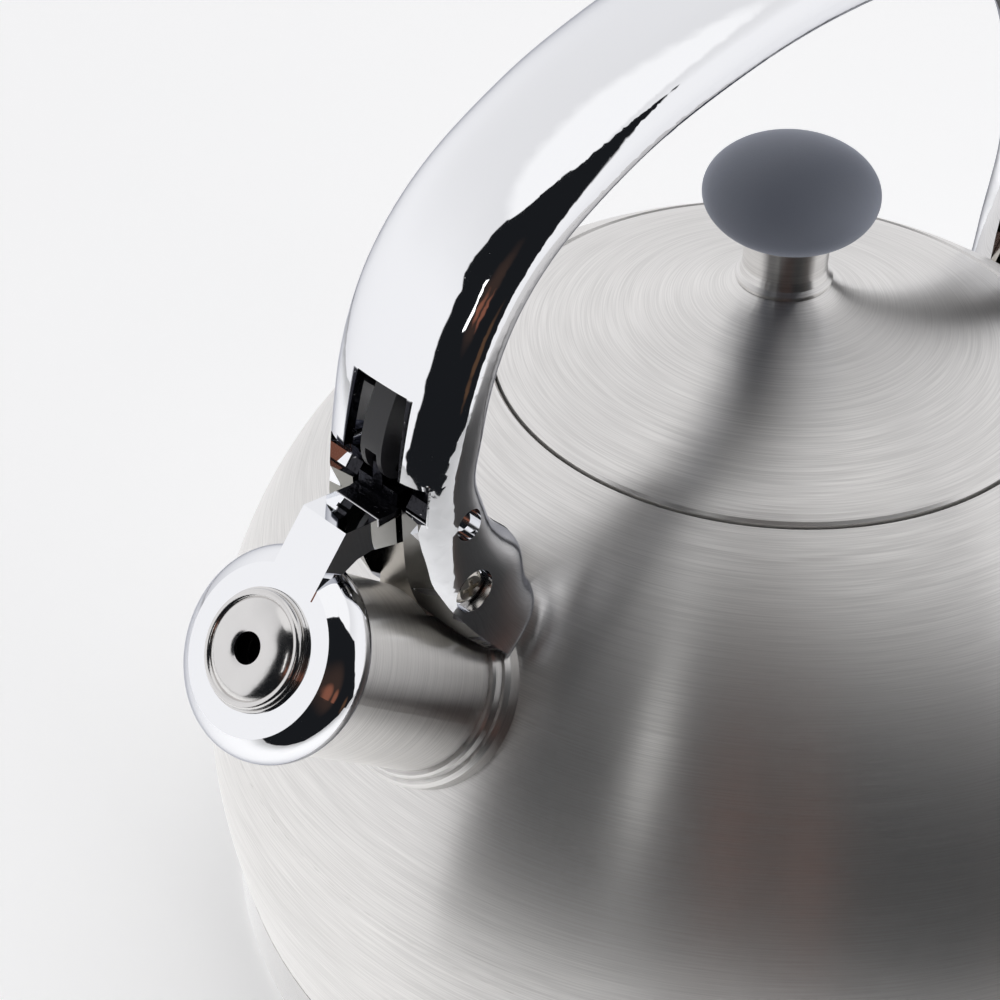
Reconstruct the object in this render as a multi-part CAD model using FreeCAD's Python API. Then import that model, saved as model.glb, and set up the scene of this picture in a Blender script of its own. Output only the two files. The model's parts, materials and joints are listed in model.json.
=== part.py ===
import FreeCAD, Part
import math
import os
from FreeCAD import Rotation, Vector

# Stovetop whistling kettle, millimetres.
# Origin: centre of the flat base, on the hob.  +Z is up and the spout points to -Y.
# Heights are z.  "reach" is the distance forward of the kettle's centre, so y = -reach.

# --- body -------------------------------------------------------------------
BELLY_RADIUS = 110.0
BELLY_HEIGHT = 41.0        # height of the widest ring
SHOULDER_RISE = 101.5      # the shoulder curve would close this far above the belly
SHOULDER_POWER = 1.9
SKIRT_DROP = 156.3         # the lower curve would close this far below the belly
SKIRT_POWER = 1.62
BAND_RADIUS = 106.0        # polished band round the base
BAND_HEIGHT = 14.0
SHEET = 0.8                # thickness of the drawn steel sheet
CUP_SHEET = 0.6            # thickness of the base cup
CUP_CORNER = 1.5
SPREADER_TOP = 5.6
WALL_SEAM = 58.0           # weld seams round the side, ground flush
SHOULDER_SEAM = 96.0
MOUTH_RADIUS = 53.5        # recess that the lid drops into
SEAT_HEIGHT = 125.8        # ledge under the lid's rim
NECK_RADIUS = 47.5
NECK_BOTTOM = 121.5

# --- lid and knob -----------------------------------------------------------
LID_RADIUS = 53.0
LID_RIM_BOTTOM = 126.1
LID_RIM_TOP = 128.2
LID_CROWN = [(50.0, 129.6), (45.0, 131.6), (38.0, 134.0), (30.0, 136.4),
             (22.0, 138.7), (15.0, 140.9), (11.0, 142.6), (8.8, 144.2)]
LID_TOP = 144.4
SKIRT_RADIUS = 46.8
SKIRT_BOTTOM = 118.5
COLLAR_RADIUS = 8.0
COLLAR_TOP = 154.6
KNOB_RADIUS = 16.05
KNOB_HALF_HEIGHT = 9.24
KNOB_HEIGHT = 161.9        # centre of the knob
SCREW_RADIUS = 2.0
WASHER_THICKNESS = 1.2

# --- spout and whistle cap: lengths are measured along the spout's axis -----------
SPOUT_ANGLE = 39.24        # above the horizontal
SPOUT_ORIGIN_HEIGHT = 25.8  # where the axis crosses the kettle's centre line
TUBE_RADIUS = 15.4
TUBE_END = 158.2
RING_RADIUS = 18.2
RING_END = 116.6
RING_STEP_RADIUS = 16.6
RING_STEP_END = 118.4
CAP_BACK = 154.6
CAP_RADIUS = 17.9
CAP_FACE = 162.0
CAP_BORE_RADIUS = 16.3
WHISTLE_RADIUS = 10.1
WHISTLE_HOLE_RADIUS = 2.7
BACK_HOLE_RADIUS = 2.4
ARM_HALF_WIDTH = 5.1
ARM_THICKNESS = 3.9
CRANK_BLOCK_HALF = 4.6
CRANK_HALF = 1.1           # the crank runs inside the link's fork

# --- handle -----------------------------------------------------------------
# Stations along the arch, from the front foot over the top to the rear foot:
# reach and height of the outer face, thickness, half width.
ARCH = [(98.0, 100.0, 27.0, 14.0),
        (101.4, 115.0, 29.2, 14.2),
        (102.9, 128.0, 27.8, 14.0),
        (102.6, 140.0, 20.2, 13.6),
        (101.2, 152.0, 14.8, 13.4),
        (98.4, 166.0, 14.0, 13.9),
        (93.6, 178.5, 13.6, 14.0),
        (86.0, 188.7, 13.2, 14.0),
        (75.8, 196.8, 12.9, 14.0),
        (63.8, 202.9, 12.7, 14.0),
        (50.0, 207.9, 12.6, 14.0),
        (26.0, 213.0, 12.6, 14.2),
        (0.0, 214.6, 12.6, 14.4),
        (-26.0, 211.8, 12.6, 14.4),
        (-50.0, 203.8, 12.7, 14.2),
        (-69.0, 191.8, 12.9, 14.0),
        (-83.5, 175.0, 13.2, 13.6),
        (-91.5, 156.0, 14.0, 13.2),
        (-95.5, 137.0, 16.0, 13.2),
        (-97.5, 119.0, 20.5, 14.0),
        (-98.0, 104.0, 22.5, 14.8),
        (-97.0, 88.0, 22.5, 15.0)]
SECTION_POWER = 3.0        # squareness of the handle's rounded section
SKIN_DEPTH = 2.2           # outer face down to the roof of the inner channel
SIDE_WALL = 4.2            # channel side in from the widest point
COVER_THICKNESS = 1.4
COVER_INSET = 0.5
CHANNEL_FIRST, CHANNEL_LAST = 4.0, 17.6   # stations where the channel starts and ends
COVER_FIRST = 4.4          # the cover starts above the swing of the crank
SLOT_HALF_WIDTH = 5.9
WINDOW_TOP = 167.0
WINDOW_TOP_HALF = 5.7
WINDOW_FOOT_HALF = 6.6
FRONT_SLOT_TOP = 151.0
REAR_SLOT_TOP = 122.0
SADDLE_RADIUS = 16.8       # the front foot is hollowed to clear the spout
# Satin front face of the front legs, from the notch under the arm down to the heel.
FOOT_FACE_INNER = [(99.6, 147.0), (99.3, 139.0), (98.6, 132.2), (97.7, 128.5), (96.4, 125.2),
                   (94.6, 121.4), (92.4, 117.7), (89.6, 113.8), (86.1, 109.7), (81.8, 105.5)]
FOOT_FACE_OUTER = [(100.6, 147.0), (100.2, 140.5), (99.5, 137.0), (98.7, 133.4), (97.1, 130.0),
                   (95.6, 127.0), (93.3, 123.3), (91.0, 120.0), (88.2, 116.4), (83.0, 110.4)]
FOOT_FACE_X = (5.9, 13.0)  # distances from the middle plane of the two lines above
NOTCH = [(104.0, 146.6), (98.6, 146.2), (97.2, 148.0), (97.6, 150.6), (99.4, 152.6), (104.0, 153.2)]
NOTCH_HALF_WIDTH = 11.6    # the notches are open at the legs' inner faces
PIVOT = (90.0, 142.0)      # whistle arm pin
PIVOT_RADIUS = 1.5
FRONT_SCREW = (90.9, 129.3)
REAR_SCREW = (-87.0, 108.5)
SCREW_SEAT = 11.2          # floor of the screw pockets, from the middle plane
POCKET_RADIUS = 3.9
PIVOT_POCKET = (91.6, 143.2)
PIVOT_POCKET_RADIUS = 2.8
PIVOT_POCKET_FLOOR = 10.4
BRACKET_HALF_WIDTH = 5.8
BRACKET_SHEET = 1.2

# --- trigger and link --------------------------------------------------------
CRANK_PIN = (96.6, 151.4)
CRANK_PIN_RADIUS = 0.9
LINK_HALF_WIDTH = 2.4
LINK_DEPTH = 2.7           # link's outer face below the outer face of the handle
LINK_THICKNESS = 2.4
RAIL_HALF_WIDTH = 6.6
LOBE_HALF_WIDTH = 5.0
TRIGGER_PIN = (54.5, 200.3)
TRIGGER_PIN_RADIUS = 1.0
PULL_ANGLE = 14.0          # the trigger slides back and up at this slope
SPRING_ANGLE = 6.0
SPRING_LENGTH = 19.5
RUNNING = 0.05             # radial clearance of a pin in its hole


def at(reach, height, x=0.0):
    """A point from its distance forward of the centre and its height."""
    return Vector(x, -reach, height)


def lines_through(points):
    """Straight edges joining the points in order, closed back to the first."""
    edges = []
    for start, end in zip(points, points[1:] + points[:1]):
        edges.append(Part.LineSegment(start, end).toShape())
    return edges


def spline_through(points):
    """One smooth edge through the points."""
    curve = Part.BSplineCurve()
    curve.interpolate(points)
    return curve.toShape()


def turned(edges):
    """Full turn about Z of a closed outline drawn in the XZ plane."""
    face = Part.Face(Part.Wire(edges))
    return face.revolve(Vector(0, 0, 0), Vector(0, 0, 1), 360)


def turned_polygon(profile):
    """Full turn about Z of a polygon given as (radius, height) pairs."""
    return turned(lines_through([Vector(r, 0, z) for r, z in profile]))


def foot_face():
    """Block that cuts the front face of the +X front leg, ruled between its inner and outer lines."""
    near, far = FOOT_FACE_X
    wires = []
    for share in (-0.1, 1.4):
        line = [(a[0] + (b[0] - a[0]) * share, a[1] + (b[1] - a[1]) * share)
                for a, b in zip(FOOT_FACE_INNER, FOOT_FACE_OUTER)]
        x = near + (far - near) * share
        curve = [at(reach, height, x) for reach, height in line]
        corners = [curve[-1], at(line[-1][0], 95.0, x), at(125.0, 95.0, x), at(125.0, 147.0, x), curve[0]]
        edges = [spline_through(curve)]
        for start, end in zip(corners, corners[1:]):
            edges.append(Part.LineSegment(start, end).toShape())
        wires.append(Part.Wire(edges))
    return Part.makeLoft(wires, True, True)


def slab(outline, half_width):
    """A flat plate across the middle plane from a (reach, height) outline."""
    points = [at(reach, height, -half_width) for reach, height in outline]
    face = Part.Face(Part.Wire(lines_through(points)))
    return face.extrude(Vector(2 * half_width, 0, 0))


def cross_pin(place, radius, start, end):
    """A round pin along X at (reach, height), from x = start to x = end."""
    return Part.makeCylinder(radius, end - start, at(place[0], place[1], start), Vector(1, 0, 0))


def on_spout(shape):
    """Move a shape made about Z so that Z lies on the spout's axis."""
    placed = shape.copy()
    tilt = Rotation(Vector(1, 0, 0), 90 - SPOUT_ANGLE)
    placed.Placement = FreeCAD.Placement(Vector(0, 0, SPOUT_ORIGIN_HEIGHT), tilt)
    return placed


def spout_point(along, rise):
    """(reach, height) of a point in the middle plane, rise above the spout's axis."""
    slope = math.radians(SPOUT_ANGLE)
    reach = along * math.cos(slope) - rise * math.sin(slope)
    height = SPOUT_ORIGIN_HEIGHT + along * math.sin(slope) + rise * math.cos(slope)
    return reach, height


def mirrored(shape):
    """The same shape on the other side of the middle plane."""
    return shape.mirror(Vector(0, 0, 0), Vector(1, 0, 0))


# --- body -------------------------------------------------------------------

def body_curve(rise, power, first, last, inset, count):
    """Points on the belly curve between two angles, moved inwards by inset."""
    points = []
    for step in range(count):
        angle = math.radians(first + (last - first) * step / (count - 1))
        across = math.cos(angle) ** (2 / power)
        up = math.sin(abs(angle)) ** (2 / power)
        lean_r = across ** (power - 1) / BELLY_RADIUS
        lean_z = up ** (power - 1) / abs(rise)
        size = math.hypot(lean_r, lean_z)
        radius = BELLY_RADIUS * across - inset * lean_r / size
        height = BELLY_HEIGHT + rise * up - math.copysign(inset * lean_z / size, rise)
        points.append(Vector(radius, 0, height))
    return points


def curve_angle(radius, power):
    """Angle on the belly curve at which it has this radius."""
    return math.degrees(math.acos((radius / BELLY_RADIUS) ** (power / 2)))


def body_edges(inset, foot_radius, top_radius):
    """Lower and upper curve of the body's side, moved inwards by inset."""
    low = curve_angle(foot_radius, SKIRT_POWER)
    high = curve_angle(top_radius, SHOULDER_POWER)
    lower = body_curve(-SKIRT_DROP, SKIRT_POWER, low, 0.0, inset, 7)
    upper = body_curve(SHOULDER_RISE, SHOULDER_POWER, 0.0, high, inset, 15)
    return lower, upper


def body_solid():
    """The body's outside as one solid block, for trimming what is welded to it."""
    lower, upper = body_edges(0.0, BAND_RADIUS, MOUTH_RADIUS)
    bottom = Vector(0, 0, 0)
    top = Vector(0, 0, upper[-1].z)
    foot = Vector(BAND_RADIUS, 0, 0)
    edges = [Part.LineSegment(bottom, foot).toShape(),
             Part.LineSegment(foot, lower[0]).toShape(),
             spline_through(lower),
             spline_through(upper),
             Part.LineSegment(upper[-1], top).toShape(),
             Part.LineSegment(top, bottom).toShape()]
    return turned(edges)


def drawn_body():
    """The whole drawn steel body: floor, side, lid recess and neck, with the spout's hole."""
    lower, upper = body_edges(0.0, BAND_RADIUS, MOUTH_RADIUS + 0.5)
    inner_lower, inner_upper = body_edges(SHEET, BAND_RADIUS, MOUTH_RADIUS + 1.6)
    tuck = BAND_RADIUS - CUP_SHEET - 0.1
    outside = [Vector(0, 0, SPREADER_TOP),
               Vector(tuck, 0, SPREADER_TOP),
               Vector(tuck, 0, BAND_HEIGHT - 0.3),
               lower[0]]
    recess = [upper[-1],
              Vector(MOUTH_RADIUS, 0, upper[-1].z - 0.5),
              Vector(MOUTH_RADIUS, 0, SEAT_HEIGHT),
              Vector(NECK_RADIUS, 0, SEAT_HEIGHT),
              Vector(NECK_RADIUS, 0, NECK_BOTTOM),
              Vector(NECK_RADIUS + SHEET, 0, NECK_BOTTOM),
              Vector(NECK_RADIUS + SHEET, 0, SEAT_HEIGHT - SHEET),
              Vector(MOUTH_RADIUS + SHEET, 0, SEAT_HEIGHT - SHEET),
              inner_upper[-1]]
    floor = [inner_lower[0],
             Vector(tuck - SHEET, 0, BAND_HEIGHT - 0.3),
             Vector(tuck - SHEET, 0, SPREADER_TOP + SHEET),
             Vector(0, 0, SPREADER_TOP + SHEET),
             Vector(0, 0, SPREADER_TOP)]
    edges = []
    for path in (outside, recess, floor):
        for start, end in zip(path, path[1:]):
            edges.append(Part.LineSegment(start, end).toShape())
    edges += [spline_through(lower), spline_through(upper)]
    edges += [spline_through(inner_upper[::-1]), spline_through(inner_lower[::-1])]
    shell = turned(Part.__sortEdges__(edges))
    hole = on_spout(Part.makeCylinder(TUBE_RADIUS - SHEET, 60, Vector(0, 0, 80)))
    return shell.cut(hole)


def body_pieces():
    """The drawn body as the floor, three rings of its side and the lid's seat, welded flush."""
    whole = drawn_body()
    seat_radius = MOUTH_RADIUS + SHEET
    seat_block = Part.makeCylinder(seat_radius, 40, Vector(0, 0, SHOULDER_SEAM))
    side = whole.cut(seat_block)
    seams = [SPREADER_TOP + SHEET, WALL_SEAM, SHOULDER_SEAM, 140]
    names = ["body_wall", "body_upper_wall", "body_shoulder"]
    pieces = {"body_floor": whole.common(Part.makeCylinder(200, SPREADER_TOP + SHEET)),
              "lid_seat": whole.common(seat_block)}
    for name, low, high in zip(names, seams, seams[1:]):
        pieces[name] = side.common(Part.makeCylinder(200, high - low, Vector(0, 0, low)))
    return pieces


def base_cup():
    """Pressed steel cup that holds the heat-spreading disc against the floor."""
    outer, inner, top = CUP_CORNER, CUP_CORNER - CUP_SHEET, BAND_HEIGHT - 0.3
    centre = BAND_RADIUS - outer
    outline = [Vector(centre, 0, 0), Vector(0, 0, 0), Vector(0, 0, CUP_SHEET), Vector(centre, 0, CUP_SHEET)]
    wall = [Vector(BAND_RADIUS - CUP_SHEET, 0, outer), Vector(BAND_RADIUS - CUP_SHEET, 0, top),
            Vector(BAND_RADIUS, 0, top), Vector(BAND_RADIUS, 0, outer)]
    edges = [Part.LineSegment(start, end).toShape()
             for path in (outline, wall) for start, end in zip(path, path[1:])]
    for radius, start, end in ((inner, outline[-1], wall[0]), (outer, outline[0], wall[-1])):
        middle = Vector(centre + radius * math.sqrt(0.5), 0, outer - radius * math.sqrt(0.5))
        edges.append(Part.Arc(start, middle, end).toShape())
    return turned(Part.__sortEdges__(edges))


def base_pieces():
    """The cup as its flat bottom and the polished band round it."""
    cup = base_cup()
    return {"base_plate": cup.common(Part.makeCylinder(200, CUP_CORNER)),
            "base_band": cup.cut(Part.makeCylinder(200, CUP_CORNER))}


def heat_spreader():
    """Aluminium disc bonded under the floor."""
    disc = Part.makeCylinder(BAND_RADIUS - CUP_SHEET - 0.1, SPREADER_TOP - CUP_SHEET,
                             Vector(0, 0, CUP_SHEET))
    foot = [edge for edge in disc.Edges
            if abs(edge.BoundBox.ZMax - CUP_SHEET) < 0.01 and edge.Length > 100]
    return disc.makeChamfer(1.2, foot)


def spout_tube(body):
    """Straight welded spout."""
    outer = Part.makeCylinder(TUBE_RADIUS, TUBE_END - 95, Vector(0, 0, 95))
    inner = Part.makeCylinder(TUBE_RADIUS - SHEET, TUBE_END - 85, Vector(0, 0, 90))
    return on_spout(outer.cut(inner)).cut(body)


def spout_ring(body):
    """Stepped weld ring round the root of the spout."""
    ring = turned_polygon([(TUBE_RADIUS, 95), (RING_RADIUS, 95),
                           (RING_RADIUS, RING_END - 0.8), (RING_RADIUS - 0.7, RING_END),
                           (RING_STEP_RADIUS + 0.3, RING_END), (RING_STEP_RADIUS, RING_STEP_END - 0.4),
                           (RING_STEP_RADIUS - 0.4, RING_STEP_END), (TUBE_RADIUS, RING_STEP_END)])
    return on_spout(ring).cut(body)


# --- lid and knob -----------------------------------------------------------

def lid_shell():
    """Pressed lid: rim, crown and a flat top under the knob's collar."""
    rim = Vector(LID_RADIUS, 0, LID_RIM_TOP - 0.5)
    crown = [Vector(LID_RADIUS - 0.5, 0, LID_RIM_TOP)]
    crown += [Vector(r, 0, z) for r, z in LID_CROWN]
    below = [Vector(LID_RADIUS - SHEET, 0, LID_RIM_TOP - SHEET)]
    below += [Vector(r - 0.25, 0, z - SHEET) for r, z in LID_CROWN]
    hole = SCREW_RADIUS + 0.5
    edges = [Part.LineSegment(Vector(LID_RADIUS, 0, LID_RIM_BOTTOM), rim).toShape(),
             Part.LineSegment(rim, crown[0]).toShape(),
             spline_through(crown)]
    flat = [crown[-1], Vector(8.2, 0, LID_TOP), Vector(hole, 0, LID_TOP),
            Vector(hole, 0, LID_TOP - SHEET), Vector(8.0, 0, LID_TOP - SHEET), below[-1]]
    for start, end in zip(flat, flat[1:]):
        edges.append(Part.LineSegment(start, end).toShape())
    edges.append(spline_through(below[::-1]))
    inner_rim = Vector(LID_RADIUS - SHEET, 0, LID_RIM_BOTTOM)
    edges.append(Part.LineSegment(below[0], inner_rim).toShape())
    edges.append(Part.LineSegment(inner_rim, Vector(LID_RADIUS, 0, LID_RIM_BOTTOM)).toShape())
    return turned(edges)


def lid_skirt(lid):
    """Locating ring welded under the lid, which drops inside the neck."""
    ring = turned_polygon([(SKIRT_RADIUS - SHEET, SKIRT_BOTTOM), (SKIRT_RADIUS - 0.3, SKIRT_BOTTOM),
                           (SKIRT_RADIUS, SKIRT_BOTTOM + 1), (SKIRT_RADIUS, 130.0),
                           (SKIRT_RADIUS - SHEET, 130.2)])
    above = turned_polygon([(30, 128.0)] + [(r - 0.25, z - SHEET) for r, z in LID_CROWN[3::-1]]
                           + [(LID_RADIUS - SHEET, LID_RIM_TOP - SHEET), (60, 127), (60, 150), (30, 150)])
    return ring.cut(above).cut(lid)


def knob_collar():
    """Turned steel collar between the lid and the knob, with a small foot."""
    profile = [(SCREW_RADIUS + 0.3, LID_TOP), (COLLAR_RADIUS + 0.9, LID_TOP),
               (COLLAR_RADIUS + 1.0, LID_TOP + 0.7), (COLLAR_RADIUS + 0.2, LID_TOP + 1.4),
               (COLLAR_RADIUS - 0.2, LID_TOP + 3.0), (COLLAR_RADIUS, COLLAR_TOP),
               (SCREW_RADIUS + 0.3, COLLAR_TOP)]
    return turned_polygon(profile)


def knob():
    """Flattened ball knob with a socket for the collar and a bore for the insert."""
    socket, bore, crown = COLLAR_RADIUS + 0.05, 4.0, 0.8
    bore_top = COLLAR_TOP + 12.3
    first = -math.acos(socket / KNOB_RADIUS)
    last = math.acos(crown / KNOB_RADIUS)
    outside = []
    for step in range(17):
        angle = first + (last - first) * step / 16
        outside.append(Vector(KNOB_RADIUS * math.cos(angle), 0,
                              KNOB_HEIGHT + KNOB_HALF_HEIGHT * math.sin(angle)))
    inside = [outside[-1], Vector(0, 0, outside[-1].z), Vector(0, 0, bore_top), Vector(bore, 0, bore_top),
              Vector(bore, 0, COLLAR_TOP), Vector(socket, 0, COLLAR_TOP), outside[0]]
    edges = [spline_through(outside)]
    for start, end in zip(inside, inside[1:]):
        edges.append(Part.LineSegment(start, end).toShape())
    return turned(edges)


def knob_insert():
    """Brass threaded insert inside the knob."""
    body = Part.makeCylinder(4.0, 12.2, Vector(0, 0, COLLAR_TOP + 0.05))
    return body.cut(Part.makeCylinder(SCREW_RADIUS + 0.03, 11.0, Vector(0, 0, COLLAR_TOP)))


def knob_washer():
    """Steel washer under the crown of the lid."""
    low = LID_TOP - SHEET - WASHER_THICKNESS
    return turned_polygon([(SCREW_RADIUS + 0.3, low), (7.0, low), (7.0, low + WASHER_THICKNESS),
                           (SCREW_RADIUS + 0.3, low + WASHER_THICKNESS)])


def pan_screw(length, head_radius, head_height):
    """A cross-head screw along +Z: head below the origin, shank above it."""
    shank = Part.makeCylinder(SCREW_RADIUS, length)
    head = turned_polygon([(0, 0), (head_radius, 0), (head_radius, -head_height * 0.45),
                           (head_radius * 0.72, -head_height * 0.9), (0, -head_height)])
    recess = []
    for turn in (0, 90):
        bar = Part.makeBox(head_radius * 1.1, 0.9, head_height * 0.6,
                           Vector(-head_radius * 0.55, -0.45, -head_height))
        bar.rotate(Vector(0, 0, 0), Vector(0, 0, 1), turn)
        recess.append(bar)
    return shank.fuse(head).cut(recess).removeSplitter()


def knob_screw():
    """Screw up through the lid into the knob."""
    screw = pan_screw(20.0, 4.4, 2.6)
    screw.translate(Vector(0, 0, LID_TOP - SHEET - WASHER_THICKNESS))
    return screw


# --- whistle cap --------------------------------------------------------------

def cap_shell():
    """Hollow round cap that closes the spout, made about Z."""
    back, face = CAP_BACK, CAP_FACE
    outline = [Vector(CAP_BORE_RADIUS, 0, back), Vector(CAP_RADIUS - 0.7, 0, back)]
    bulge = [outline[-1], Vector(CAP_RADIUS - 0.1, 0, back + 1.4), Vector(CAP_RADIUS, 0, back + 3.2),
             Vector(CAP_RADIUS - 0.6, 0, back + 5.0), Vector(CAP_RADIUS - 1.9, 0, face - 1.1),
             Vector(CAP_RADIUS - 3.6, 0, face)]
    front = [bulge[-1], Vector(WHISTLE_RADIUS + 0.1, 0, face), Vector(WHISTLE_RADIUS + 0.1, 0, face - 2.2),
             Vector(CAP_BORE_RADIUS, 0, face - 2.2), outline[0], outline[1]]
    edges = [spline_through(bulge)]
    for start, end in zip(front, front[1:]):
        edges.append(Part.LineSegment(start, end).toShape())
    return turned(edges)


def crank_slot(inwards):
    """(reach, height) of the crank pin moved towards the arm's pivot."""
    reach, height = CRANK_PIN[0] - PIVOT[0], CRANK_PIN[1] - PIVOT[1]
    scale = 1 - inwards / math.hypot(reach, height)
    return PIVOT[0] + reach * scale, PIVOT[1] + height * scale


def whistle_cap():
    """Cap and lever arm cast in one piece, with the crank that the link pulls."""
    top_front = spout_point(CAP_FACE + 0.2, 23.8)
    low_front = spout_point(CAP_FACE + 0.2, 11.5)
    low_back = [spout_point(CAP_FACE - ARM_THICKNESS, 17.1), spout_point(CAP_FACE - 2.0, 16.9),
                spout_point(CAP_FACE - 2.0, 11.5)]
    outline = [low_front, top_front, (101.0, 145.7), (91.5, 146.9), (86.5, 145.0), (85.2, 141.5),
               (87.5, 137.6), (92.0, 137.0), (100.6, 139.2), (105.4, 140.6), (108.4, 140.4)]
    arm = slab(outline + low_back, ARM_HALF_WIDTH)
    block = slab([(99.6, 145.0), (99.2, 148.4), (92.8, 148.4), (91.0, 145.0)], CRANK_BLOCK_HALF)
    crank = slab([(91.0, 146.0), (99.4, 146.0), (99.3, 152.2), (97.6, 154.0), (95.4, 153.6), (93.6, 151.0)],
                 CRANK_HALF)
    holes = [cross_pin(crank_slot(inwards), CRANK_PIN_RADIUS + 0.25, -2, 2)
             for inwards in (0.0, 0.4, 0.8)]
    cap = on_spout(cap_shell()).fuse([arm, block, crank]).removeSplitter()
    bore = on_spout(Part.makeCylinder(WHISTLE_RADIUS + 0.1, 12, Vector(0, 0, CAP_BACK)))
    holes += [cross_pin(PIVOT, PIVOT_RADIUS + RUNNING, -8, 8), bore]
    return cap.cut(holes)


def whistle_collar():
    """Flanged steel barrel that carries the two whistle plates."""
    return on_spout(turned_polygon([
        (WHISTLE_RADIUS - 0.7, CAP_BACK + 2.0), (WHISTLE_RADIUS, CAP_BACK + 2.0),
        (WHISTLE_RADIUS, CAP_FACE - 2.9), (12.2, CAP_FACE - 2.9), (12.2, CAP_FACE - 2.25),
        (WHISTLE_RADIUS + 0.05, CAP_FACE - 2.25), (WHISTLE_RADIUS + 0.05, CAP_FACE + 0.7),
        (WHISTLE_RADIUS - 0.7, CAP_FACE + 0.7)]))


def whistle_front():
    """Domed front plate with a rolled rim and the whistle's sound hole."""
    base = CAP_FACE + 0.75
    hole, rim = WHISTLE_HOLE_RADIUS, WHISTLE_RADIUS - 0.3
    dome = [Vector(hole, 0, base + 1.75), Vector(hole + 1.2, 0, base + 2.0), Vector(5.6, 0, base + 1.85),
            Vector(7.4, 0, base + 1.35), Vector(8.4, 0, base + 0.75)]
    roll = [dome[-1], Vector(8.8, 0, base + 1.05), Vector(rim - 0.35, 0, base + 1.0),
            Vector(rim, 0, base + 0.45), Vector(rim, 0, base)]
    under = [roll[-1], Vector(8.0, 0, base), Vector(hole, 0, base + 1.1), dome[0]]
    edges = [spline_through(dome), spline_through(roll)]
    for start, end in zip(under, under[1:]):
        edges.append(Part.LineSegment(start, end).toShape())
    return on_spout(turned(edges))


def whistle_back():
    """Inner plate of the whistle, with a smaller hole."""
    low = CAP_FACE - 0.9
    return on_spout(turned_polygon([(BACK_HOLE_RADIUS, low), (WHISTLE_RADIUS - 0.75, low),
                                    (WHISTLE_RADIUS - 0.75, low + 0.5), (BACK_HOLE_RADIUS, low + 0.5)]))


def cap_seal():
    """Silicone ring that the end of the spout closes on."""
    low = CAP_FACE - 3.5
    return on_spout(turned_polygon([(12.3, low), (CAP_BORE_RADIUS - 0.1, low),
                                    (CAP_BORE_RADIUS - 0.1, CAP_FACE - 2.25), (12.3, CAP_FACE - 2.25)]))


# --- handle -----------------------------------------------------------------

def arch_curve():
    """Smooth line along the outer face of the handle."""
    curve = Part.BSplineCurve()
    curve.interpolate(Points=[at(reach, height) for reach, height, _, _ in ARCH],
                      Parameters=[float(i) for i in range(len(ARCH))])
    return curve


def arch_value(position, column):
    """A column of ARCH between its stations, eased from one to the next."""
    index = min(int(position), len(ARCH) - 2)
    share = position - index
    share = share * share * (3 - 2 * share)
    return ARCH[index][column] * (1 - share) + ARCH[index + 1][column] * share


def arch_frame(position):
    """Point on the outer face and the direction out of it, at a station number."""
    curve = arch_curve()
    point = curve.value(position)
    along = curve.tangent(position)[0]
    outward = Vector(1, 0, 0).cross(along)
    return point, outward.normalize()


def arch_stations(first, last, spacing=0.5):
    """Evenly spread station numbers, ends included."""
    count = max(2, int(round((last - first) / spacing)) + 1)
    return [first + (last - first) * i / (count - 1) for i in range(count)]


def rounded_section(position):
    """Closed smooth outline of the handle at a station number."""
    point, outward = arch_frame(position)
    half_depth = arch_value(position, 2) / 2
    half_width = arch_value(position, 3)
    centre = point - outward * half_depth
    points = []
    for step in range(28):
        angle = 2 * math.pi * step / 28
        c, s = math.cos(angle), math.sin(angle)
        across = math.copysign(abs(c) ** (2 / SECTION_POWER), c) * half_width
        out = math.copysign(abs(s) ** (2 / SECTION_POWER), s) * half_depth
        points.append(centre + Vector(across, 0, 0) + outward * out)
    curve = Part.BSplineCurve()
    curve.interpolate(Points=points, PeriodicFlag=True)
    return Part.Wire(curve.toShape())


def arch_bar():
    """The handle's outside as one solid bar from foot to foot."""
    sections = [rounded_section(i) for i in arch_stations(0, len(ARCH) - 1)]
    return Part.makeLoft(sections, True, False)


def arch_strip(first, last, half_width, top, bottom):
    """A strip that follows the arch; each size is a function of the station number."""
    sections = []
    for position in arch_stations(first, last):
        point, outward = arch_frame(position)
        across = Vector(half_width(position), 0, 0)
        high = point - outward * top(position)
        low = point - outward * bottom(position)
        corners = [high - across, high + across, low + across, low - across]
        sections.append(Part.Wire(lines_through(corners)))
    return Part.makeLoft(sections, True, False)


def channel_half(position):
    """Half width of the inner channel."""
    return arch_value(position, 3) - SIDE_WALL


def screw_pockets(place):
    """Round pockets in both legs with a screw hole through to the middle."""
    cuts = []
    for sign in (1, -1):
        low, high = sorted((sign * SCREW_SEAT, sign * 30))
        cuts.append(cross_pin(place, POCKET_RADIUS, low, high))
    cuts.append(cross_pin(place, SCREW_RADIUS + 0.1, -SCREW_SEAT, SCREW_SEAT))
    return cuts


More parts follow.
